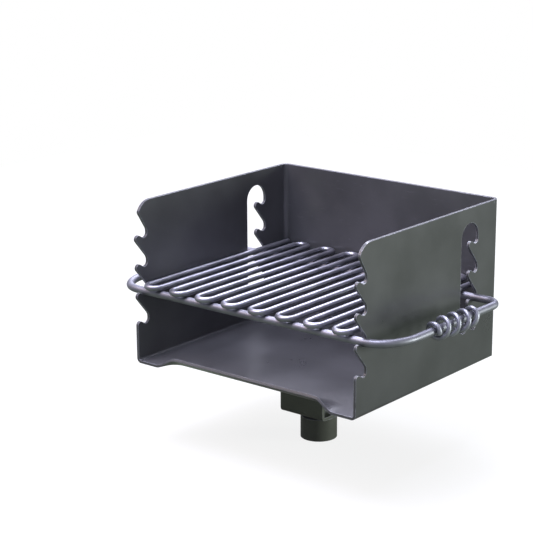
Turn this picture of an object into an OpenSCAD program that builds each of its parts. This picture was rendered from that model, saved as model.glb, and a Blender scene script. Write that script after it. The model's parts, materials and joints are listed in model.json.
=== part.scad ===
// Park charcoal grill: a steel firebox that turns on a fixed pipe post, with a
// grate whose rod frame hooks into toothed notches at four heights.
// Origin: centre of the post's lower end. +Z up, the open front faces -Y.

/* [Firebox] */
// Width of the firebox over its sides
box_w = 438; // [380:1:520]
// Depth of the firebox from the front edge to the back
box_d = 382; // [372:1:440]
// Height of the firebox
box_h = 265; // [255:1:300]
// Thickness of the firebox sheet
sheet_t = 4.5; // [3:0.5:6]
// Outer radius of the bends between floor and sides
bend_r = 8; // [7:0.5:14]
// Outer radius of the upright rear corners
corner_r = 12; // [8:0.5:20]
// Radius of the upper front corner of each side
front_corner_r = 30; // [20:1:35]
// Leg of the weld between floor and back
seam_leg = 4; // [2:0.5:6]

/* [Front lip] */
// Length of the floor strip that is turned up
lip_len = 42; // [30:1:50]
// Steepest angle of the lip above the floor
lip_angle = 33; // [10:1:45]
// Width of the flat corner at each end of the lip
lip_flat = 42; // [20:1:60]
// Width over which the flat corner rises into the lip
lip_blend = 38; // [20:1:60]
// Length of the curved part of the bend
lip_bend = 24; // [6:1:28]

/* [Grate heights] */
// Number of heights for the grate
levels = 4; // [3:1:4]
// Distance between two heights
level_pitch = 47.3; // [44:0.1:49]
// How far the top pockets' bottoms lie below the upper edge
top_drop = 60.5; // [57:0.5:65]
// Radius of a pocket's bottom
pocket_r = 7.5; // [7:0.1:8.5]
// Depth of a pocket behind its nose
pocket_depth = 26; // [24:0.5:28]
// Radius of a pocket's back
back_r = 13; // [10:0.5:15]
// Height of that curve's centre above the pocket's bottom
back_h = 9; // [8.5:0.5:12]
// Radius of a nose
nose_r = 6; // [5:0.1:6.5]
// Height of a nose above its pocket's bottom
nose_h = 5.5; // [4.5:0.1:6]
// Steps down from the top pockets to those that hold the grate
rest_steps = 2; // [0:1:2]

/* [Rear slots] */
// Width of a rear slot up to the backs of its pockets
slot_w = 48.1; // [46:0.1:56]
// Height of the slot's top curve centre above the top pocket's bottom
slot_rise = 12; // [8:0.5:16]

/* [Grate] */
// Distance between the front and the rear rod of the frame
frame_d = 295.5; // [280:0.5:298]
// Diameter of the frame rod
rod_d = 12.7; // [10:0.1:13.2]
// Diameter of the grate bars
bar_d = 9.5; // [7:0.1:12]
// Space that the bars leave on each side when they lie in the middle
side_room = 8.75; // [7:0.25:20]
// Number of bars
bars = 16; // [10:2:16]
// Distance from a side to the middle of a handle
handle_out = 55; // [48:1:80]
// Radius of the first bend of a handle's front corner
handle_r = 45; // [35:1:50]
// Angle of that first bend, after which a wider one finishes the corner
handle_a = 55; // [45:1:60]
// Bend radius of a handle's rear corner
rear_r = 25; // [16:1:30]
// How far the grate rests to the left of the firebox's middle
grate_left = 6; // [0:0.5:6]
// Gap between the bars' rear bends and the back
bar_back_gap = 2.3; // [1:0.1:10]
// How far the front bends' centres lie behind the front rod
bend_back = 2; // [0:0.1:4]
// Diameter of the weld where a bar crosses the frame rod
bead_d = 8; // [6:0.5:9]

/* [Spring grips] */
// Wire diameter of a grip
wire_d = 7.2; // [5:0.1:8]
// Outer diameter of a grip
coil_d = 36.2; // [34:0.1:42]
// Number of turns
coil_turns = 4.5; // [3.75:0.25:5]
// Length of a grip between the middles of its wire ends
coil_len = 104; // [98:1:120]
// How far a grip's middle lies behind the middle of the grate
coil_back = 12; // [0:0.5:20]
// How far the middle turns hang below the handle's middle
coil_sag = 1.2; // [0:0.1:1.5]
// How much further the rear turns hang down than these
coil_tilt = 2.6; // [0:0.1:3]

/* [Mounting channel] */
// Length of the channel from left to right
chan_w = 86; // [70:1:160]
// Depth of the channel from front to back
chan_d = 93; // [80:1:120]
// Height of the channel
chan_h = 87; // [60:1:110]
// Thickness of the channel
chan_t = 5; // [4:0.5:8]
// Outer radius of the channel's bends
chan_r = 8; // [8:0.5:12]
// Leg of the welds between channel and floor
chan_leg = 5; // [3:0.5:7]

/* [Post and pivot] */
// Outer diameter of the post
pipe_d = 60.3; // [60:0.1:73]
// Wall of the post
pipe_wall = 3.9; // [3:0.1:5]
// Height of the post stub
stub_h = 37; // [32:1:300]
// How far the post stands behind the middle of the floor
post_back = 5; // [0:1:20]
// Diameter of the cap
cap_d = 55; // [54.8:0.1:57]
// Thickness of the cap
cap_t = 6; // [5:0.5:10]
// Diameter of the pivot bolt
bolt_d = 16; // [12:0.5:18]
// Width of the bolt head and nut over the flats
hex_w = 24; // [24:0.5:30]
// Height of the bolt head
head_h = 10; // [8:0.5:12]
// Height of the lock nut
nut_h = 16; // [14:0.5:20]
// Diameter of the washer between cap and channel
thrust_d = 50; // [44:0.5:54]
// Diameter of the washer under the nut
washer_d = 34; // [33:0.5:44]
// Thickness of both washers
washer_t = 3; // [2:0.5:5]
// Length of thread above the nut
thread_over = 4; // [2:0.5:8]

/* [Hidden] */

// Clearance of a rod in its seat, of a turning fit and of a loose hole
seat_gap = 0.3;
run_gap = 0.05;
loose_gap = 0.5;
// How far a cutting shape runs past the face that it cuts
over = 10;
// Sides of round shapes
fine = 64;
small = 32;
// Degrees between two points of a bend in an outline
arc_step = 10;

sheet_color = [0.20, 0.20, 0.23];
rod_color = [0.26, 0.26, 0.30];
hardware_color = [0.55, 0.56, 0.58];
weld_color = [0.23, 0.23, 0.25];

// Heights
cap_z = stub_h;
web_z = cap_z + cap_t + washer_t;
floor_z = web_z + chan_h;

// Firebox
front_y = -box_d / 2 - post_back;
back_y = front_y + box_d;
// How far the back's bent edges reach forward to the sides
back_return = corner_r + sheet_t;
half_w = box_w / 2;
inner_w = box_w - 2 * sheet_t;

// Pockets and noses in the side's plane, as [distance behind the front edge, height above the floor's underside]
function level_z(k) = box_h - top_drop - k * level_pitch;
function pocket(k) = [pocket_depth - pocket_r, level_z(k) + pocket_r];
function back(k) = [pocket_depth - back_r, level_z(k) + back_h];
function nose(k) = [nose_r, level_z(k) + nose_h - nose_r];
corner_c = [front_corner_r + nose_r - 1, box_h - front_corner_r];
// The tip below the upper front corner
tip_angle = 150;
tip = corner_c + (front_corner_r - nose_r) * [cos(tip_angle), sin(tip_angle)];
slot_front = pocket_depth + frame_d - slot_w;
slot_c = [slot_front + slot_w / 2, level_z(0) + slot_rise];
// Round lower end of a slot, level with its lowest pocket
slot_end_r = (frame_d - slot_front) / 2;
slot_end = [slot_front + slot_end_r, level_z(levels - 1) + slot_end_r];

// Grate
rod_r = rod_d / 2;
bar_r = bar_d / 2;
rod_y = front_y + pocket_depth - pocket_r;
rear_rod_y = rod_y + frame_d;
rod_z = floor_z + level_z(rest_steps) + rod_r + seat_gap;
bar_z = rod_z + rod_r + seat_gap + bar_r;
handle_start = half_w + 3;
handle_x = half_w + handle_out;
handle_r2 = (handle_x - handle_start - handle_r * sin(handle_a)) / (1 - sin(handle_a));
straight_y = rod_y + handle_r * (1 - cos(handle_a)) + handle_r2 * cos(handle_a);
bar_pitch = (inner_w - 2 * side_room - bar_d) / (bars - 1);
bend_mid_r = bar_pitch / 2;
bar_front_y = rod_y + bend_back;
bar_end_y = back_y - sheet_t - bar_back_gap;
bar_rear_y = bar_end_y - bend_mid_r - bar_r;

// Spring grips
coil_rings = 8;
coil_sides = 6;
coil_r = (coil_d - wire_d) / 2;
coil_end_r = (rod_r + wire_d / 2 + seat_gap) / cos(180 / coil_rings);
coil_mid_y = rod_y + frame_d / 2 + coil_back;
// Turns between the wire's first end and the first top of the coil
lead_turns = 0.3;
// Share of half the length that an end turn takes, in which it lies close, and over which it widens
end_share = 0.16;
close_share = 0.13;
widen_share = 0.25;

// Points on an arc, with both ends
function arc(c, r, a0, a1) =
    let (n = max(1, ceil(abs(a1 - a0) / arc_step)))
    [for (i = [0:n]) let (a = a0 + (a1 - a0) * i / n) c + r * [cos(a), sin(a)]];

// Direction, seen from c, in which a line that touches a curve of radius r about c and the nose at n touches the first
function side_angle(c, r, n, s) =
    atan2(n[1] - c[1], n[0] - c[0]) + s * acos((r + nose_r) / norm(n - c));

// Toothed edge from the top pocket, whose back starts at angle first, to the lowest nose, which ends at angle last
function teeth(first, last) =
    [for (k = [0:levels - 1])
        let (
            n = nose(k),
            a0 = k == 0 ? first : side_angle(back(k), back_r, nose(k - 1), -1),
            a1 = side_angle(pocket(k), pocket_r, n, 1),
            a2 = k == levels - 1 ? last : side_angle(back(k + 1), back_r, n, -1) + 180)
        each concat(
            a0 > 0 ? arc(back(k), back_r, a0, 0) : [],
            arc(pocket(k), pocket_r, 0, a1),
            arc(n, nose_r, a1 + 180, a2))];

// Outline with flat top and round lower corners, standing on the origin
module tray_2d(w, h, r) {
    translate([-w / 2, r]) square([w, h - r]);
    translate([-w / 2 + r, 0]) square([w - 2 * r, r + 0.01]);
    for (s = [-1, 1])
        translate([s * (w / 2 - r), r]) circle(r, $fn = fine);
}

// Section of a sheet bent to a U, open at the top
module u_2d(w, h, t, r) {
    difference() {
        tray_2d(w, h, r);
        translate([0, t]) tray_2d(w - 2 * t, h, r - t);
    }
}

// Turns an outline in the side's plane into a block from x0 to x1
module across(x0, x1) {
    translate([x0, front_y, floor_z])
        rotate([90, 0, 90]) linear_extrude(x1 - x0) children();
}

// Outline of a side, with the front notches
module side_2d() {
    first = side_angle(back(0), back_r, tip, -1);
    polygon(concat(
        [[box_d, 0], [box_d, box_h]],
        arc(corner_c, front_corner_r, 90, tip_angle),
        arc(tip, nose_r, tip_angle, first + 180),
        teeth(first, 180),
        [[0, 0]]));
}

// Outline of a rear slot: straight in front, toothed behind, with round ends
module slot_2d() {
    low = nose(levels - 1)[1] + nose_r - slot_end[1];
    polygon(concat(
        arc(slot_c, slot_w / 2, 180, 0),
        [for (p = teeth(0, 90)) p + [frame_d, 0]],
        arc(slot_end, slot_end_r, asin(low / slot_end_r), -180)));
}

// Lip: a strip whose angle fades to nothing towards its ends
function smooth(u) = u * u * (3 - 2 * u);
function lip_turn(x) =
    lip_angle * smooth(min(1, max(0, (half_w - abs(x) - lip_flat) / lip_blend)));
bend_steps = 7;
lip_s = concat([for (i = [0:bend_steps]) lip_bend * i / bend_steps], [lip_len]);
function lip_dir(a, s) = a * min(1, s / lip_bend);
// Middle of the sheet after i pieces, as [forward, up]
function lip_mid(a, i) =
    i == 0 ? [0, sheet_t / 2] :
    let (m = (lip_dir(a, lip_s[i]) + lip_dir(a, lip_s[i - 1])) / 2)
    lip_mid(a, i - 1) + (lip_s[i] - lip_s[i - 1]) * [cos(m), sin(m)];
// One section of the strip, under side outwards and upper side back
function lip_section(x) =
    let (
        a = lip_turn(x),
        n = len(lip_s),
        mid = [for (i = [0:n - 1]) lip_mid(a, i)],
        up = [for (i = [0:n - 1]) let (d = lip_dir(a, lip_s[i])) sheet_t / 2 * [-sin(d), cos(d)]])
    concat(
        [for (i = [0:n - 1]) let (p = mid[i] - up[i]) [x, -p[0], p[1]]],
        [for (i = [n - 1:-1:0]) let (p = mid[i] + up[i]) [x, -p[0], p[1]]]);
blend_steps = 10;
lip_end = half_w - lip_flat;
lip_x = concat(
    [for (i = [0:blend_steps]) -lip_end + lip_blend * i / blend_steps],
    [for (i = [blend_steps:-1:0]) lip_end - lip_blend * i / blend_steps]);

module lip() {
    n = len(lip_s);
    m = 2 * n;
    last = (len(lip_x) - 1) * m;
    points = [for (x = lip_x) each lip_section(x)];
    skin = [for (j = [0:len(lip_x) - 2], i = [0:m - 1])
        let (a = j * m + i, b = j * m + (i + 1) % m, c = a + m, d = b + m)
        each [[a, b, c], [b, d, c]]];
    ends = [for (i = [0:n - 2])
        let (a = i, b = i + 1, c = m - 2 - i, d = m - 1 - i)
        each [[a, c, b], [a, d, c], [last + a, last + b, last + c], [last + a, last + c, last + d]]];
    translate([0, front_y + lip_len, floor_z])
        polyhedron(points, concat(skin, ends));
}

// Plan of the firebox with its round rear corners
module plan_2d() {
    translate([0, back_y]) mirror([0, 1]) tray_2d(box_w, box_d, corner_r);
}

module firebox_shell() {
    color(sheet_color) {
        difference() {
            intersection() {
                translate([0, back_y - sheet_t, floor_z])
                    rotate([90, 0, 0]) linear_extrude(box_d - sheet_t) u_2d(box_w, box_h, sheet_t, bend_r);
                translate([0, 0, floor_z]) linear_extrude(box_h) plan_2d();
                across(-half_w, half_w) side_2d();
            }
            across(-half_w - over, half_w + over) slot_2d();
            translate([-half_w - over, back_y - back_return, floor_z + bend_r])
                cube([box_w + 2 * over, back_return, box_h]);
            translate([-lip_end, front_y - over, floor_z - over])
                cube([2 * lip_end, over + lip_len, 2 * over]);
        }
        lip();
    }
}

module back_plate() {
    color(sheet_color)
        difference() {
            intersection() {
                translate([0, back_y, floor_z])
                    mirror([0, 1, 0]) linear_extrude(box_h) u_2d(box_w, back_return, sheet_t, corner_r);
                translate([0, back_y, floor_z])
                    rotate([90, 0, 0]) linear_extrude(back_return) tray_2d(box_w, box_h, bend_r);
            }
            translate([-half_w - over, back_y - back_return - over, floor_z - over])
                cube([box_w + 2 * over, corner_r + over, bend_r + over]);
        }
}

// Fillet weld that runs along X in the corner of a level and an upright face
module bead(length, leg) {
    translate([-length / 2, 0, 0])
        rotate([90, 0, 90]) linear_extrude(length)
            polygon([[0, 0], [leg, 0], [leg * 0.62, leg * 0.62], [0, leg]]);
}

module back_weld() {
    color(weld_color)
        translate([0, back_y - sheet_t, floor_z + sheet_t])
            mirror([0, 1, 0]) bead(box_w - 2 * bend_r, seam_leg);
}

module mounting_channel() {
    color(sheet_color)
        difference() {
            translate([-chan_w / 2, 0, web_z])
                rotate([90, 0, 90]) linear_extrude(chan_w) u_2d(chan_d, chan_h, chan_t, chan_r);
            translate([0, 0, web_z - over])
                cylinder(h = chan_t + 2 * over, d = bolt_d + 2 * run_gap, $fn = fine);
        }
}

module channel_welds() {
    color(weld_color)
        for (s = [0, 1])
            mirror([0, s, 0]) translate([0, chan_d / 2, floor_z])
                mirror([0, 0, 1]) bead(chan_w, chan_leg);
}

module post_tube() {
    color(sheet_color)
        difference() {
            cylinder(h = stub_h, d = pipe_d, $fn = fine);
            translate([0, 0, -over]) cylinder(h = stub_h + 2 * over, d = pipe_d - 2 * pipe_wall, $fn = fine);
        }
}

// Flat disc with a hole
module disc(z, h, d, hole) {
    translate([0, 0, z])
        difference() {
            cylinder(h = h, d = d, $fn = fine);
            translate([0, 0, -over]) cylinder(h = h + 2 * over, d = hole, $fn = fine);
        }
}

module post_cap() {
    color(sheet_color) disc(cap_z, cap_t, cap_d, bolt_d + 2 * run_gap);
}

module cap_weld() {
    leg = (pipe_d - cap_d) / 2;
    color(weld_color)
        rotate_extrude($fn = fine)
            polygon([[cap_d / 2, cap_z], [cap_d / 2 + leg, cap_z], [cap_d / 2, cap_z + leg]]);
}

module thrust_washer() {
    color(hardware_color) disc(cap_z + cap_t, washer_t, thrust_d, bolt_d + 2 * loose_gap);
}

// Hexagon with both ends chamfered
module hex(h) {
    wide = hex_w / cos(30);
    intersection() {
        cylinder(h = h, d = wide, $fn = 6);
        cylinder(h = h, d1 = wide * 0.93, d2 = wide * 0.93 + 2 * h, $fn = fine);
        cylinder(h = h, d1 = wide * 0.93 + 2 * h, d2 = wide * 0.93, $fn = fine);
    }
}

nut_z = web_z + chan_t + seat_gap + washer_t;

module pivot_bolt() {
    tip_h = bolt_d / 8;
    top = nut_z + nut_h + thread_over;
    color(hardware_color) {
        translate([0, 0, cap_z - head_h]) hex(head_h);
        translate([0, 0, cap_z]) cylinder(h = top - tip_h - cap_z, d = bolt_d, $fn = fine);
        translate([0, 0, top - tip_h]) cylinder(h = tip_h, d1 = bolt_d, d2 = bolt_d - 2 * tip_h, $fn = fine);
    }
}

module top_washer() {
    color(hardware_color) disc(nut_z - washer_t, washer_t, washer_d, bolt_d + 2 * loose_gap);
}

module lock_nut() {
    collar_h = nut_h / 4;
    color(hardware_color)
        translate([0, 0, nut_z])
            difference() {
                union() {
                    hex(nut_h - collar_h);
                    translate([0, 0, nut_h - collar_h]) cylinder(h = collar_h, d = hex_w - 3, $fn = fine);
                }
                translate([0, 0, -over]) cylinder(h = nut_h + 2 * over, d = bolt_d + 2 * run_gap, $fn = fine);
            }
}

// Straight rod along Y and along X
module rod_y(x, y0, y1, r) {
    translate([x, y0, 0]) rotate([-90, 0, 0]) cylinder(h = y1 - y0, r = r, $fn = small);
}
module rod_x(x0, x1, y, r) {
    translate([x0, y, 0]) rotate([0, 90, 0]) cylinder(h = x1 - x0, r = r, $fn = small);
}
// Bent rod of bend radius br about the point c, from direction a0 through angle a
module rod_bend(c, br, a0, a, r) {
    translate([c[0], c[1], 0]) rotate([0, 0, a0])
        rotate_extrude(angle = a, $fn = fine) translate([br, 0]) circle(r, $fn = small);
}

// Bend of the frame rod as [x, y, outward direction] at each point
function frame_bend(c, r, a0, a1) =
    let (n = ceil(abs(a1 - a0) / arc_step))
    [for (i = [0:n]) let (a = a0 + (a1 - a0) * i / n) [c[0] + r * cos(a), c[1] + r * sin(a), a]];
right_path = concat(
    frame_bend([handle_start, rod_y + handle_r], handle_r, -90, handle_a - 90),
    [for (p = frame_bend([handle_x - handle_r2, straight_y], handle_r2, handle_a - 90, 0)) if (p[2] > handle_a - 89) p],
    frame_bend([handle_x - rear_r, rear_rod_y - rear_r], rear_r, 0, 90));
frame_path = concat(right_path,
    [for (i = [len(right_path) - 1:-1:0]) let (p = right_path[i]) [-p[0], p[1], 180 - p[2]]]);
frame_sides = 16;

// The frame is one rod, bent and closed on itself
module grate_frame() {
    n = len(frame_path);
    m = frame_sides;
    points = [for (p = frame_path, k = [0:m - 1])
        let (b = 360 * k / m)
        [p[0] + rod_r * cos(b) * cos(p[2]), p[1] + rod_r * cos(b) * sin(p[2]), rod_r * sin(b)]];
    skin = [for (i = [0:n - 1], k = [0:m - 1])
        let (j = (i + 1) % n, a = i * m + k, b = i * m + (k + 1) % m, c = j * m + k, d = j * m + (k + 1) % m)
        each [[a, b, c], [b, d, c]]];
    color(rod_color)
        translate([-grate_left, 0, rod_z]) polyhedron(points, skin);
}

function bar_x(i) = (i - (bars - 1) / 2) * bar_pitch - grate_left;

module grate_bars() {
    color(rod_color)
        translate([0, 0, bar_z]) {
            for (i = [0:bars - 1])
                rod_y(bar_x(i), bar_front_y, i == 0 || i == bars - 1 ? bar_end_y : bar_rear_y, bar_r);
            for (i = [0:2:bars - 2])
                rod_bend([bar_x(i) + bend_mid_r, bar_front_y], bend_mid_r, 180, 180, bar_r);
            for (i = [1:2:bars - 3])
                rod_bend([bar_x(i) + bend_mid_r, bar_rear_y], bend_mid_r, 0, 180, bar_r);
        }
}

// One bead between a bar and the frame rod, cut to both
module grate_bead(x, y) {
    difference() {
        translate([x, y, rod_z]) cylinder(h = bar_z - rod_z, d = bead_d, $fn = small);
        translate([0, 0, rod_z]) rod_x(x - over, x + over, y, rod_r);
        translate([0, 0, bar_z]) rod_y(x, y - over, y + over, bar_r);
    }
}

module grate_welds() {
    color(weld_color)
        for (i = [0:bars - 1])
            grate_bead(bar_x(i), rear_rod_y);
}

// Middle of the wire at u, which runs from -1 to 1, about the handle's middle line
function coil_fade(u) = smooth(min(1, max(0, (1 - abs(u) - close_share) / widen_share)));
function coil_drop(u) = (coil_sag + coil_tilt * u) * coil_fade(u);
function coil_at(u) =
    let (
        a = 360 * ((u + 1) / 2 * coil_turns - lead_turns),
        r = coil_end_r + (coil_r - coil_end_r) * coil_fade(u))
    [-r * sin(a), coil_len / 2 * max(-1, min(1, u / (1 - end_share))), r * cos(a) - coil_drop(u)];
coil_n = round(coil_turns * coil_rings);
coil_points = [for (i = [0:coil_n]) coil_at(2 * i / coil_n - 1)];
function unit(v) = v / norm(v);
// Ring of the wire at point i: its plane halves the turn between the two pieces that meet there
function coil_ring(i) =
    let (
        p = coil_points,
        d = unit(p[min(i + 1, coil_n)] - p[max(i - 1, 0)]),
        out = unit([p[i][0], 0, p[i][2] + coil_drop(2 * i / coil_n - 1)]),
        side = unit(cross(d, out)),
        up = cross(side, d))
    [for (k = [0:coil_sides - 1])
        let (b = 360 * k / coil_sides)
        p[i] + wire_d / 2 * (cos(b) * up + sin(b) * side)];
// Least distance between turns of one grip
coil_gap = min([for (i = [0:coil_n], j = [0:coil_n]) if (j - i > coil_rings / 2)
    norm(coil_points[i] - coil_points[j]) - wire_d]);
echo("least gap between the turns of a spring grip", coil_gap);

module spring_grip(x) {
    m = coil_sides;
    last = coil_n * m;
    points = [for (i = [0:coil_n]) each coil_ring(i)];
    skin = [for (i = [0:coil_n - 1], k = [0:m - 1])
        let (a = i * m + k, b = i * m + (k + 1) % m, c = a + m, d = b + m)
        each [[a, b, c], [b, d, c]]];
    ends = [for (k = [1:m - 2]) each [[0, k + 1, k], [last, last + k, last + k + 1]]];
    color(rod_color)
        translate([x, coil_mid_y, rod_z])
            polyhedron(points, concat(skin, ends));
}

module left_spring_grip() {
    spring_grip(-handle_x - grate_left);
}

module right_spring_grip() {
    spring_grip(handle_x - grate_left);
}

post_tube();
post_cap();
cap_weld();
thrust_washer();
pivot_bolt();
top_washer();
lock_nut();
mounting_channel();
channel_welds();
firebox_shell();
back_plate();
back_weld();
grate_frame();
grate_bars();
grate_welds();
left_spring_grip();
right_spring_grip();
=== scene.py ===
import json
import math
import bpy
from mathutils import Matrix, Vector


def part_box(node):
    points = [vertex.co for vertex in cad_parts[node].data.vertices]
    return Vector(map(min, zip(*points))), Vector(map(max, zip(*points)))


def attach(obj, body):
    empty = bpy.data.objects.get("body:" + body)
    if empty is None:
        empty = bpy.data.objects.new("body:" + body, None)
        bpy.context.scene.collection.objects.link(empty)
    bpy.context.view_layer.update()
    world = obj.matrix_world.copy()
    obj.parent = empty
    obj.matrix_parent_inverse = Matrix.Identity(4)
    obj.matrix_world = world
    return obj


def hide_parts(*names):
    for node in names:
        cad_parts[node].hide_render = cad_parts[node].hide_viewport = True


bl_info = {
    "name": "Park charcoal grill",
    "version": (1, 0, 0),
    "blender": (4, 5, 0),
    "location": "View3D > Sidebar > Grill",
    "description": "Dresses the frame of a steel park grill: painted sheet, rods, spring grips and welds",
    "category": "Object",
}

import bmesh
import bpy
from mathutils import Matrix, Vector

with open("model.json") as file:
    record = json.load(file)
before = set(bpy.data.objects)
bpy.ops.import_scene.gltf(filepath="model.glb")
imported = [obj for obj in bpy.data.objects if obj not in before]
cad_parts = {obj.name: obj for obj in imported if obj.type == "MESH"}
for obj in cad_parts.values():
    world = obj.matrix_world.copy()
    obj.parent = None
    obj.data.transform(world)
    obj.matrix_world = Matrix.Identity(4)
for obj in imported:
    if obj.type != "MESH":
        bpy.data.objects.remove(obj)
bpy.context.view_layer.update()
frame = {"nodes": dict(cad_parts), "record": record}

MM = 0.001
ROD_LOW, ROD_HIGH = (Vector(corner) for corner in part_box("grate_frame"))
SHELL_LOW, SHELL_HIGH = (Vector(corner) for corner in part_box("firebox_shell"))
CHANNEL_LOW, CHANNEL_HIGH = (Vector(corner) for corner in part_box("mounting_channel"))
ROD_RADIUS = (ROD_HIGH.z - ROD_LOW.z) / 2

# Parts of the sheet with less of the pale edge, wear and painted highlight, measured inwards from the shell's
# box
SEAM_DEPTH = 16 * MM
TOP_EDGE = 4 * MM
LIP_EDGE = 8 * MM
LIP_HEIGHT = 35 * MM
LIP_END = 45 * MM
# Share of the pale edge, wear and painted highlight, that the lip is spared
LIP_SPARED_SHARE = 0.85

# Shares of half a coil's turns: the end turn without pitch, what lies close on the rod, and what widens
END_SHARE = 0.16
CLOSE_SHARE = 0.13
WIDEN_SHARE = 0.25
# Bevel at the wire's ends, and its gap to the handle there
END_BEVEL = 0.7 * MM
GRIP_GAP = 0.3 * MM

# Weld beads: length of a ripple's step, and where each bead's middle lies from its fillet's corner
BEAD_STEP = 1.1 * MM
SEAM_BEAD = {"inset": 0.8 * MM, "radius": 3.2 * MM}
CHANNEL_BEAD = {"inset": 1.2 * MM, "radius": 3.4 * MM}

# Size, place and colour of each lamp
LAMPS = {
    "key": (1.8, (-0.8, 1.6, 2.4), (0.84, 0.85, 1.0)),
    "top": (1.4, (-0.3, -0.5, 2.6), (0.80, 0.81, 1.0)),
    "front": (1.2, (-1.2, -1.3, 2.0), (1.0, 0.81, 0.79)),
    "side": (0.7, (2.2, 1.3, 0.45), (0.93, 1.0, 0.93)),
}
LAMP_TARGET = Vector((0, 0, 0.25))
WHITE = (1.0, 1.0, 1.0)

# Camera, as the photograph was taken
LENS = 113.82
SENSOR = 36.0
SHIFT = (-0.0959, 0.0354)
CAMERA_PLACE = Vector((1.5885, -2.0583, 1.0036))
CAMERA_BACK = Vector((0.5879, -0.7603, 0.2761)).normalized()
CAMERA_ROLL = math.radians(0.12)


class FinishSettings(bpy.types.PropertyGroup):
    """Paint and bare metal of the grill, with a painted highlight in the pale edge colour"""
    sheet_color: bpy.props.FloatVectorProperty(
        name="Sheet paint", description="Paint of the firebox", subtype="COLOR",
        size=3, min=0.0, max=1.0, default=(0.070, 0.070, 0.076))
    post_color: bpy.props.FloatVectorProperty(
        name="Post paint", description="Paint of post and mounting channel", subtype="COLOR",
        size=3, min=0.0, max=1.0, default=(0.098, 0.102, 0.084))
    rod_color: bpy.props.FloatVectorProperty(
        name="Rod paint", description="Paint of the grate's rods", subtype="COLOR",
        size=3, min=0.0, max=1.0, default=(0.30, 0.30, 0.35))
    # Pale colour of worn edges and scratches; along the cut edges it is also a painted highlight
    wear_and_highlight_color: bpy.props.FloatVectorProperty(
        name="Worn edge", description="Colour that cut edges wear to", subtype="COLOR",
        size=3, min=0.0, max=1.0, default=(0.50, 0.50, 0.60))
    roughness: bpy.props.FloatProperty(
        name="Roughness", description="Roughness of the paint", subtype="FACTOR",
        min=0.05, max=1.0, default=0.31)
    edge_radius: bpy.props.FloatProperty(
        name="Edge radius", description="Rounding of the sheet's cut edges", subtype="DISTANCE",
        unit="LENGTH", min=0.0, max=3 * MM, default=1.1 * MM)
    # Radius over which the pale edge, wear and painted highlight, fades
    wear_and_highlight_radius: bpy.props.FloatProperty(
        name="Wear", description="Radius in which the wear at an edge fades", subtype="DISTANCE",
        unit="LENGTH", min=0.0, max=5 * MM, default=2.2 * MM)


class RodSettings(bpy.types.PropertyGroup):
    """Bends of the grate's frame rod"""
    straight_half: bpy.props.FloatProperty(
        name="Front straight", description="Half of the front rod's straight length", subtype="DISTANCE",
        unit="LENGTH", min=0.15, max=0.3, default=222 * MM)
    corner_radius: bpy.props.FloatProperty(
        name="Front bend", description="First radius of a front corner", subtype="DISTANCE",
        unit="LENGTH", min=0.03, max=0.06, default=45 * MM)
    corner_angle: bpy.props.FloatProperty(
        name="Front bend angle", description="Angle that the first radius turns through", subtype="ANGLE",
        min=0.5, max=1.2, default=math.radians(55))
    rear_radius: bpy.props.FloatProperty(
        name="Rear bend", description="Radius of a rear corner", subtype="DISTANCE",
        unit="LENGTH", min=0.015, max=0.04, default=25 * MM)
    sides: bpy.props.IntProperty(
        name="Rod sides", description="Faces round the frame rod", min=12, max=64, default=32)


class GripSettings(bpy.types.PropertyGroup):
    """Wire coils on the handles"""
    wire: bpy.props.FloatProperty(
        name="Wire", description="Diameter of the wire", subtype="DISTANCE", unit="LENGTH",
        min=0.004, max=0.01, default=7.2 * MM)
    coil: bpy.props.FloatProperty(
        name="Coil", description="Outer diameter of the coil", subtype="DISTANCE", unit="LENGTH",
        min=0.03, max=0.045, default=36.2 * MM)
    turns: bpy.props.FloatProperty(
        name="Turns", description="Number of turns", min=3.0, max=6.0, default=4.5)
    lead: bpy.props.FloatProperty(
        name="Lead", description="Turns between the wire's first end and the first top of the coil",
        min=0.0, max=1.0, default=0.3)
    length: bpy.props.FloatProperty(
        name="Length", description="Length between the middles of the wire ends", subtype="DISTANCE",
        unit="LENGTH", min=0.09, max=0.14, default=104 * MM)
    sag: bpy.props.FloatProperty(
        name="Sag", description="How far the middle turns hang", subtype="DISTANCE", unit="LENGTH",
        min=0.0, max=0.004, default=1.2 * MM)
    tilt: bpy.props.FloatProperty(
        name="Tilt", description="How much further the rear turns hang", subtype="DISTANCE", unit="LENGTH",
        min=0.0, max=0.003, default=2.6 * MM)


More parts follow.
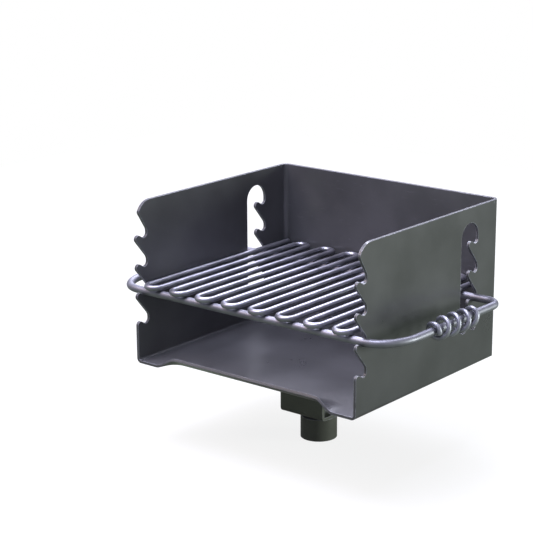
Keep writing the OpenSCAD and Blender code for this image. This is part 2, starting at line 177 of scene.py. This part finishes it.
class StageSettings(bpy.types.PropertyGroup):
    """Floor, world and lamps"""
    floor_size: bpy.props.FloatProperty(
        name="Floor size", description="Half of the floor's width", subtype="DISTANCE", unit="LENGTH",
        min=1.0, max=10.0, default=2.0)
    floor_color: bpy.props.FloatVectorProperty(
        name="Floor", description="Colour of the floor", subtype="COLOR",
        size=3, min=0.0, max=1.0, default=(0.86, 0.86, 0.86))
    bounce_color: bpy.props.FloatVectorProperty(
        name="Bounce", description="Colour of the light that the floor throws on the metal", subtype="COLOR",
        size=3, min=0.0, max=1.0, default=(0.075, 0.10, 0.055))
    whiteness: bpy.props.FloatProperty(
        name="White share", description="Share of plain white in the floor as the camera sees it",
        subtype="FACTOR", min=0.0, max=1.0, default=0.85)
    reflected: bpy.props.FloatProperty(
        name="Reflected share", description="Share of that white in what the metal mirrors", subtype="FACTOR",
        min=0.0, max=1.0, default=0.15)
    world_color: bpy.props.FloatVectorProperty(
        name="World", description="Colour of the light from all round", subtype="COLOR",
        size=3, min=0.0, max=1.0, default=(0.82, 0.86, 1.0))
    world_strength: bpy.props.FloatProperty(
        name="World strength", description="Strength of the light from all round",
        min=0.0, max=1.0, default=0.33)
    key_power: bpy.props.FloatProperty(
        name="Key", description="Power of the large soft lamp", unit="POWER",
        min=0.0, max=400.0, default=110.0)
    top_power: bpy.props.FloatProperty(
        name="Top", description="Power of the lamp overhead", unit="POWER",
        min=0.0, max=400.0, default=106.0)
    front_power: bpy.props.FloatProperty(
        name="Front", description="Power of the lamp above the front", unit="POWER",
        min=0.0, max=400.0, default=22.0)
    side_power: bpy.props.FloatProperty(
        name="Side", description="Power of the side lamp", unit="POWER", min=0.0, max=400.0, default=38.0)


# Material building

class Value:
    """A shader socket that Python's operators add Math nodes to"""

    def __init__(self, tree, socket):
        self.tree = tree
        self.socket = socket

    def math(self, operation, *others):
        return self.tree.add("ShaderNodeMath", {"operation": operation}, [self, *others])

    def __add__(self, other):
        return self.math("ADD", other)

    def __mul__(self, other):
        return self.math("MULTIPLY", other)

    def __sub__(self, other):
        return self.math("SUBTRACT", other)

    def __rsub__(self, other):
        return self.tree.add("ShaderNodeMath", {"operation": "SUBTRACT"}, [other, self])

    __radd__ = __add__

    def step(self, low, high):
        """0 below low, 1 above high and smooth between"""
        return self.tree.add("ShaderNodeMapRange", {"interpolation_type": "SMOOTHSTEP"},
                             {"Value": self, "From Min": low, "From Max": high})


class NodeTree:
    """Nodes and links of a material or a world"""

    def __init__(self, node_tree):
        self.nodes = node_tree.nodes
        self.links = node_tree.links

    def add(self, kind, settings=None, inputs=(), output=0):
        node = self.nodes.new(kind)
        for key, value in (settings or {}).items():
            setattr(node, key, value)
        pairs = inputs.items() if isinstance(inputs, dict) else enumerate(inputs)
        for key, value in pairs:
            self.set(node.inputs[key], value)
        return Value(self, node.outputs[output])

    def set(self, socket, value):
        if isinstance(value, Value):
            self.links.new(value.socket, socket)
        elif socket.type == "RGBA" and len(value) == 3:
            socket.default_value = (*value, 1.0)
        else:
            socket.default_value = value

    def mix(self, factor, a, b):
        node = self.nodes.new("ShaderNodeMix")
        node.data_type = "RGBA"
        for socket, value in ((node.inputs[0], factor), (node.inputs[6], a), (node.inputs[7], b)):
            self.set(socket, value)
        return Value(self, node.outputs[2])

    def noise(self, where, scale, detail=2.0, rough=0.5):
        sockets = {"Vector": where, "Scale": scale, "Detail": detail, "Roughness": rough}
        return self.add("ShaderNodeTexNoise", {}, sockets)

    def blend(self, share, a, b, ending):
        """Mixes two shaders by a share of the second and links them to the tree's output node"""
        mixed = self.add("ShaderNodeMixShader", {}, [share])
        for value, socket in zip((a, b), mixed.socket.node.inputs[1:]):
            self.links.new(value.socket, socket)
        self.links.new(mixed.socket, self.nodes[ending].inputs["Surface"])


class Shader(NodeTree):
    """The node tree of one material"""

    def __init__(self, name):
        self.material = bpy.data.materials.new(name)
        self.material.use_nodes = True
        super().__init__(self.material.node_tree)
        self.surface = self.nodes["Principled BSDF"]

    def finish(self, **sockets):
        for name, value in sockets.items():
            self.set(self.surface.inputs[name.replace("_", " ")], value)
        return self.material


def tone(color, factor):
    return tuple(min(1.0, channel * factor) for channel in color)


def past(value, border, softness):
    """1 past a border and 0 before it, with a soft change in front of the border"""
    return value.step(border - softness, border)


def sheet_edges(tree, where):
    """Shares of the pale edge, which is wear and a painted highlight, and of rounding: none at the flush rear
    seams, little of the pale edge along the lip
    """
    x, y, z = (tree.add("ShaderNodeSeparateXYZ", {}, [where], output=axis) for axis in "XYZ")
    rear = past(y, SHELL_HIGH.y - SEAM_DEPTH, 4 * MM)
    below = 1.0 - past(z, SHELL_HIGH.z - TOP_EDGE, 3 * MM)
    front = 1.0 - past(y, SHELL_LOW.y + LIP_EDGE, 4 * MM)
    low = 1.0 - past(z, SHELL_LOW.z + LIP_HEIGHT, 5 * MM)
    middle = 1.0 - past(x.math("ABSOLUTE"), SHELL_HIGH.x - LIP_END, 15 * MM)
    rounded = 1.0 - rear * below
    return rounded - front * low * middle * LIP_SPARED_SHARE, rounded


def painted_metal(name, color, roughness, finish, wear=0.6, peel=0.04 * MM, patch=9.0,
                  metal=0.0, coat=0.12, grit=1.0, edges=None):
    """Satin paint with orange peel, cloudy patches, fine scratches and pale edges, which are wear and a
    painted highlight
    """
    tree = Shader(name)
    where = tree.add("ShaderNodeTexCoord", output="Object")
    cloud = tree.noise(where, patch, 3.0)
    speck = tree.noise(where, 240.0, 4.0, 0.7)
    along = {"Vector": where, "Rotation": (0.3, 0.2, 0.6), "Scale": (1.0, 14.0, 5.0)}
    stretched = tree.add("ShaderNodeMapping", {}, along)
    scratch = tree.noise(stretched, 42.0, 4.0, 0.65).step(0.60, 0.74)

    # Edges are found where a bevelled normal leaves the true one
    wear_and_highlight_share, rounded = edges(tree, where) if edges else (1.0, 1.0)
    rim = tree.add("ShaderNodeBevel", {"samples": 6}, {"Radius": finish.wear_and_highlight_radius})
    bevel = tree.add("ShaderNodeBevel", {"samples": 6}, {"Radius": rounded * finish.edge_radius})
    true_normal = tree.add("ShaderNodeNewGeometry", output="True Normal")
    product = {"operation": "DOT_PRODUCT"}
    facing = tree.add("ShaderNodeVectorMath", product, [rim, true_normal], output="Value")
    # Pale edge mark: wear on the cut edges, and also a painted highlight along them
    edge = (1.0 - facing).step(0.01, 0.14) * tree.noise(where, 60.0, 3.0).step(0.2, 0.5) * wear_and_highlight_share

    base = tree.mix(cloud.step(0.3, 0.7), tone(color, 0.82), tone(color, 1.18))
    base = tree.mix(speck.step(0.62, 0.8) * (0.25 * grit), base, tone(color, 1.9))
    base = tree.mix(scratch * (0.10 * grit), base, finish.wear_and_highlight_color)
    base = tree.mix(edge * wear, base, finish.wear_and_highlight_color)
    gloss = roughness + (cloud - 0.5) * 0.16 + (speck - 0.5) * (0.12 * grit) - edge * 0.08
    peeled = tree.noise(where, 520.0, 2.0) + tree.noise(where, 70.0, 2.0) * 1.5
    height = {"Strength": 0.55, "Distance": peel, "Height": peeled, "Normal": bevel}
    return tree.finish(Base_Color=base, Roughness=gloss, Normal=tree.add("ShaderNodeBump", {}, height),
                       Metallic=metal, Coat_Weight=coat, Coat_Roughness=0.15)


def zinc_plate(name, color):
    """Plated steel of bolt, nut and washers"""
    tree = Shader(name)
    where = tree.add("ShaderNodeTexCoord", output="Object")
    cloud = tree.noise(where, 160.0, 3.0)
    base = tree.mix(cloud.step(0.35, 0.65), tone(color, 0.75), color)
    height = {"Strength": 0.4, "Distance": 0.04 * MM, "Height": tree.noise(where, 900.0)}
    bump = tree.add("ShaderNodeBump", {}, height)
    return tree.finish(Base_Color=base, Metallic=0.85, Roughness=cloud * 0.2 + 0.28, Normal=bump)


# Mesh building

def finished(name, bm, material, body, slot, *nodes):
    """Turns a bmesh into a piece at the origin that replaces nodes and rides on a body"""
    bmesh.ops.remove_doubles(bm, verts=bm.verts[:], dist=0.01 * MM)
    bmesh.ops.recalc_face_normals(bm, faces=bm.faces[:])
    for face in bm.faces:
        face.smooth = True
    mesh = bpy.data.meshes.new(name)
    bm.to_mesh(mesh)
    bm.free()
    mesh.materials.append(material)
    piece = bpy.data.objects.new(name, mesh)
    bpy.context.scene.collection.objects.link(piece)
    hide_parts(*nodes)
    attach(piece, body)


def frame_at(point, direction, up=Vector((0, 0, 1)), size=1.0):
    """Matrix whose Z axis runs along direction"""
    along = direction.normalized()
    side = up.cross(along).normalized()
    over = along.cross(side)
    turn = Matrix((side, over, along)).transposed().to_4x4()
    return Matrix.Translation(point) @ turn @ Matrix.Scale(size, 4)


def sweep(bm, frames, radius, sides, closed=False):
    """Draws a circle along a list of frames and returns the faces that close an open tube"""
    ring = bmesh.ops.create_circle(bm, segments=sides, radius=radius, matrix=frames[0])["verts"]
    first = list({edge for vert in ring for edge in vert.link_edges})
    edges = first
    for before, after in zip(frames, frames[1:] + frames[:1] if closed else frames[1:]):
        grown = bmesh.ops.extrude_edge_only(bm, edges=edges)["geom"]
        verts = [item for item in grown if isinstance(item, bmesh.types.BMVert)]
        bmesh.ops.transform(bm, matrix=after @ before.inverted(), verts=verts)
        moved = set(verts)
        edges = [item for item in grown if isinstance(item, bmesh.types.BMEdge) and set(item.verts) <= moved]
    if closed:
        return []
    return [bmesh.ops.contextual_create(bm, geom=loop)["faces"][0] for loop in (first, edges)]


def arc(center, radius, start, stop, steps):
    """Points and directions along a level arc, counter-clockwise"""
    out = []
    for i in range(steps + 1):
        a = start + (stop - start) * i / steps
        outward = Vector((math.cos(a), math.sin(a), 0))
        out.append((center + radius * outward, Vector((-outward.y, outward.x, 0))))
    return out


class GRILL_OT_paint(bpy.types.Operator):
    """Make the finishes and give them to the frame's nodes"""
    bl_idname = "grill.paint"
    bl_label = "Painted sheet and hardware"

    def execute(self, context):
        finish = context.scene.grill_finish
        dull = finish.roughness + 0.1
        # wear sets how much of the pale edge each finish gets: wear and painted highlight
        smooth = {"wear": 0.0, "peel": 0.01 * MM, "coat": 0.08, "grit": 0.3}
        sheet = painted_metal("Satin black sheet", finish.sheet_color, finish.roughness, finish,
                              grit=0.5, edges=sheet_edges)
        tube = painted_metal("Satin black post", finish.post_color, dull, finish, wear=0.3)
        bracket = painted_metal("Satin black bracket", tone(finish.post_color, 1.1), dull, finish, wear=0.4)
        rods = painted_metal("Black grate rods", finish.rod_color, 0.42, finish,
                             patch=25.0, metal=0.9, **smooth)
        # The frame rod is the rod paint darkened: painted shade for the rod that lies in the bars' shade
        loop = painted_metal("Black frame rod", tone(finish.rod_color, 0.78), 0.50, finish,
                             patch=25.0, metal=0.85, **smooth)
        # The wire is the rod paint made lighter: painted light for the brightly lit turns of the coils
        wire = painted_metal("Grip wire", tone(finish.rod_color, 1.25), 0.50, finish,
                             patch=40.0, metal=0.85, **smooth)
        bead = painted_metal("Painted weld", tone(finish.sheet_color, 1.1), 0.38, finish,
                             wear=0.1, peel=0.1 * MM, patch=60.0)
        plated = zinc_plate("Zinc plate", (0.50, 0.51, 0.52))
        by_slot = {"firebox_paint": sheet, "post_paint": tube, "grate_steel": rods, "spring_steel": wire,
                   "weld_paint": bead, "hardware": plated}
        by_node = {"mounting_channel": bracket, "grate_frame": loop}
        for entry in frame["record"]["subparts"]:
            node = entry["node"]
            for holder in frame["nodes"][node].material_slots:
                holder.material = by_node.get(node, by_slot[entry["material_slot"]])
        return {"FINISHED"}


class GRILL_OT_frame_rod(bpy.types.Operator):
    """Bend the grate's frame from one round rod"""
    bl_idname = "grill.frame_rod"
    bl_label = "Grate frame rod"

    def execute(self, context):
        rod = context.scene.grill_rod
        middle = (ROD_LOW + ROD_HIGH) / 2
        handle = (ROD_HIGH.x - ROD_LOW.x) / 2 - ROD_RADIUS
        front = ROD_LOW.y + ROD_RADIUS
        rear = ROD_HIGH.y - ROD_RADIUS
        turned = math.sin(rod.corner_angle)
        wide = (handle - rod.straight_half - rod.corner_radius * turned) / (1 - turned)
        kept = math.cos(rod.corner_angle)
        level = front + rod.corner_radius * (1 - kept) + wide * kept
        quarter = math.pi / 2

        def corner(sign):
            """Points and directions from the front round to the rear of one handle"""
            arcs = arc(Vector((rod.straight_half, front + rod.corner_radius, 0)), rod.corner_radius,
                       -quarter, rod.corner_angle - quarter, steps=12)
            arcs += arc(Vector((handle - wide, level, 0)), wide, rod.corner_angle - quarter, 0, steps=10)[1:]
            arcs += arc(Vector((handle - rod.rear_radius, rear - rod.rear_radius, 0)), rod.rear_radius,
                        0, quarter, steps=14)
            return [(Vector((sign * p.x + middle.x, p.y, middle.z)), Vector((sign * d.x, d.y, 0)))
                    for p, d in arcs]

        left = [(point, -direction) for point, direction in reversed(corner(-1))]
        frames = [frame_at(point, direction) for point, direction in corner(1) + left]
        bm = bmesh.new()
        sweep(bm, frames, ROD_RADIUS, rod.sides, closed=True)
        material = bpy.data.materials["Black frame rod"]
        finished("frame_rod", bm, material, "grate", "grate_steel", "grate_frame")
        return {"FINISHED"}


class GRILL_OT_spring_grips(bpy.types.Operator):
    """Wind a wire coil round each handle"""
    bl_idname = "grill.spring_grips"
    bl_label = "Spring grips"

    def execute(self, context):
        grip = context.scene.grill_grip
        rings = 28
        count = round(grip.turns * rings)
        middle_z = (ROD_LOW.z + ROD_HIGH.z) / 2
        full = (grip.coil - grip.wire) / 2
        # The end turns close on the rod as in the solid, whose turns have eight rings
        tight = (ROD_RADIUS + grip.wire / 2 + GRIP_GAP) / math.cos(math.pi / 8)

        def fade(u):
            """0 in the end turns and 1 in the wide ones"""
            share = min(1.0, max(0.0, (1 - abs(u) - CLOSE_SHARE) / WIDEN_SHARE))
            return share * share * (3 - 2 * share)

        for side in ("left", "right"):
            node = side + "_spring_grip"
            low, high = (Vector(corner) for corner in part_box(node))
            handle_x = ROD_LOW.x + ROD_RADIUS if side == "left" else ROD_HIGH.x - ROD_RADIUS
            middle = Vector((handle_x, (low.y + high.y) / 2, middle_z))
            points = []
            for i in range(count + 1):
                u = 2 * i / count - 1
                a = 2 * math.pi * ((u + 1) / 2 * grip.turns - grip.lead)
                r = tight + (full - tight) * fade(u)
                along = grip.length / 2 * max(-1.0, min(1.0, u / (1 - END_SHARE)))
                drop = (grip.sag + grip.tilt * u) * fade(u)
                points.append(middle + Vector((-r * math.sin(a), along, r * math.cos(a) - drop)))
            frames = []
            for i, point in enumerate(points):
                direction = points[min(i + 1, count)] - points[max(i - 1, 0)]
                frames.append(frame_at(point, direction, up=Vector((0, 1, 0))))
            bm = bmesh.new()
            caps = sweep(bm, frames, grip.wire / 2, 20)
            rims = [edge for cap in caps for edge in cap.edges]
            bmesh.ops.bevel(bm, geom=rims, offset=END_BEVEL, segments=2, profile=0.5, affect="EDGES",
                            material=-1)
            material = bpy.data.materials["Grip wire"]
            finished(node + "_wire", bm, material, "grate", "spring_steel", node)
        return {"FINISHED"}


class GRILL_OT_weld_beads(bpy.types.Operator):
    """Lay rippled beads where the solids have plain fillets"""
    bl_idname = "grill.weld_beads"
    bl_label = "Weld beads"

    def execute(self, context):
        material = bpy.data.materials["Painted weld"]

        def rippled(name, starts, length, radius, node):
            """Beads along X from each start, which swell and shrink like a hand-made weld"""
            bm = bmesh.new()
            count = int(length / BEAD_STEP)
            for start in starts:
                frames = []
                for i in range(count + 1):
                    place = start + Vector((i * length / count, 0, 0))
                    ripple = 0.86 + 0.14 * abs(math.sin(i * 0.9)) + 0.05 * math.sin(i * 0.31)
                    frames.append(frame_at(place, Vector((1, 0, 0)), size=ripple))
                sweep(bm, frames, radius, 12)
            finished(name, bm, material, "firebox", "weld_paint", node)

        low, high = (Vector(corner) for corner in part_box("back_weld"))
        inset = SEAM_BEAD["inset"]
        start = Vector((low.x, high.y - inset, low.z + inset))
        rippled("back_bead", [start], high.x - low.x, SEAM_BEAD["radius"], "back_weld")

        low, high = (Vector(corner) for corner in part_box("channel_welds"))
        inset = CHANNEL_BEAD["inset"]
        sides = (CHANNEL_LOW.y - inset, CHANNEL_HIGH.y + inset)
        starts = [Vector((low.x, y, SHELL_LOW.z - inset)) for y in sides]
        rippled("channel_beads", starts, high.x - low.x, CHANNEL_BEAD["radius"], "channel_welds")
        return {"FINISHED"}


class GRILL_OT_stage(bpy.types.Operator):
    """Set the floor, lamps, world and camera"""
    bl_idname = "grill.stage"
    bl_label = "Stage and camera"

    def execute(self, context):
        stage = context.scene.grill_stage
        bm = bmesh.new()
        bmesh.ops.create_grid(bm, x_segments=1, y_segments=1, size=stage.floor_size)
        mesh = bpy.data.meshes.new("floor")
        bm.to_mesh(mesh)
        bm.free()
        floor = bpy.data.objects.new("floor", mesh)
        context.scene.collection.objects.link(floor)
        tree = Shader("Pale floor")
        camera_ray = tree.add("ShaderNodeLightPath", output="Is Camera Ray")
        seen = camera_ray + tree.add("ShaderNodeLightPath", output="Is Glossy Ray") * stage.reflected
        white = tree.add("ShaderNodeEmission", {}, {"Color": WHITE, "Strength": 1.0})
        shaded = Value(tree, tree.surface.outputs["BSDF"])
        tree.blend(seen * stage.whiteness, shaded, white, "Material Output")
        paint = tree.mix(camera_ray, stage.bounce_color, stage.floor_color)
        mesh.materials.append(tree.finish(Base_Color=paint, Roughness=0.9))

        for name, (size, place, color) in LAMPS.items():
            data = bpy.data.lights.new(name, "AREA")
            data.energy = getattr(stage, name + "_power")
            data.size = size
            data.color = color
            light = bpy.data.objects.new(name, data)
            light.location = place
            light.rotation_euler = (LAMP_TARGET - Vector(place)).to_track_quat("-Z", "Y").to_euler()
            context.scene.collection.objects.link(light)

        world = bpy.data.worlds.new("Soft room")
        context.scene.world = world
        world.use_nodes = True
        tree = NodeTree(world.node_tree)
        soft = Value(tree, tree.nodes["Background"].outputs["Background"])
        tree.set(soft.socket.node.inputs["Color"], stage.world_color)
        tree.set(soft.socket.node.inputs["Strength"], stage.world_strength)
        white = tree.add("ShaderNodeBackground", {}, {"Color": WHITE})
        straight = tree.add("ShaderNodeLightPath", output="Is Camera Ray").math(
            "MAXIMUM", tree.add("ShaderNodeLightPath", output="Is Transmission Ray"))
        mirrored = tree.add("ShaderNodeLightPath", output="Is Glossy Ray") * stage.reflected
        tree.blend(straight.math("MAXIMUM", mirrored), soft, white, "World Output")

        data = bpy.data.cameras.new("camera")
        data.lens = LENS
        data.sensor_width = SENSOR
        data.shift_x, data.shift_y = SHIFT
        data.clip_end = 50.0
        camera = bpy.data.objects.new("camera", data)
        right = (-CAMERA_BACK).cross(Vector((0, 0, 1))).normalized()
        up = right.cross(-CAMERA_BACK)
        across = right * math.cos(CAMERA_ROLL) + up * math.sin(CAMERA_ROLL)
        over = up * math.cos(CAMERA_ROLL) - right * math.sin(CAMERA_ROLL)
        turn = Matrix((across, over, CAMERA_BACK)).transposed().to_4x4()
        camera.matrix_world = Matrix.Translation(CAMERA_PLACE) @ turn
        context.scene.collection.objects.link(camera)
        context.scene.camera = camera
        context.scene.view_settings.view_transform = "Standard"
        return {"FINISHED"}


class GRILL_PT_panel(bpy.types.Panel):
    """Settings of the grill's looks, and the steps that build them"""
    bl_label = "Park grill"
    bl_space_type = "VIEW_3D"
    bl_region_type = "UI"
    bl_category = "Grill"

    def draw(self, context):
        column = self.layout.column()
        for group in GROUPS:
            settings = getattr(context.scene, group)
            for name in settings.__annotations__:
                column.prop(settings, name)
        for operator in OPERATORS:
            column.operator(operator.bl_idname)


GROUPS = {"grill_finish": FinishSettings, "grill_rod": RodSettings, "grill_grip": GripSettings,
          "grill_stage": StageSettings}
OPERATORS = (GRILL_OT_paint, GRILL_OT_frame_rod, GRILL_OT_spring_grips, GRILL_OT_weld_beads, GRILL_OT_stage)


def register():
    for item in (*GROUPS.values(), *OPERATORS, GRILL_PT_panel):
        bpy.utils.register_class(item)
    for name, group in GROUPS.items():
        setattr(bpy.types.Scene, name, bpy.props.PointerProperty(type=group))


def unregister():
    for name in GROUPS:
        delattr(bpy.types.Scene, name)
    for item in (GRILL_PT_panel, *reversed(OPERATORS), *reversed(GROUPS.values())):
        bpy.utils.unregister_class(item)


def main():
    register()
    for operator in OPERATORS:
        group, name = operator.bl_idname.split(".")
        getattr(getattr(bpy.ops, group), name)()


if __name__ == "__main__":
    main()
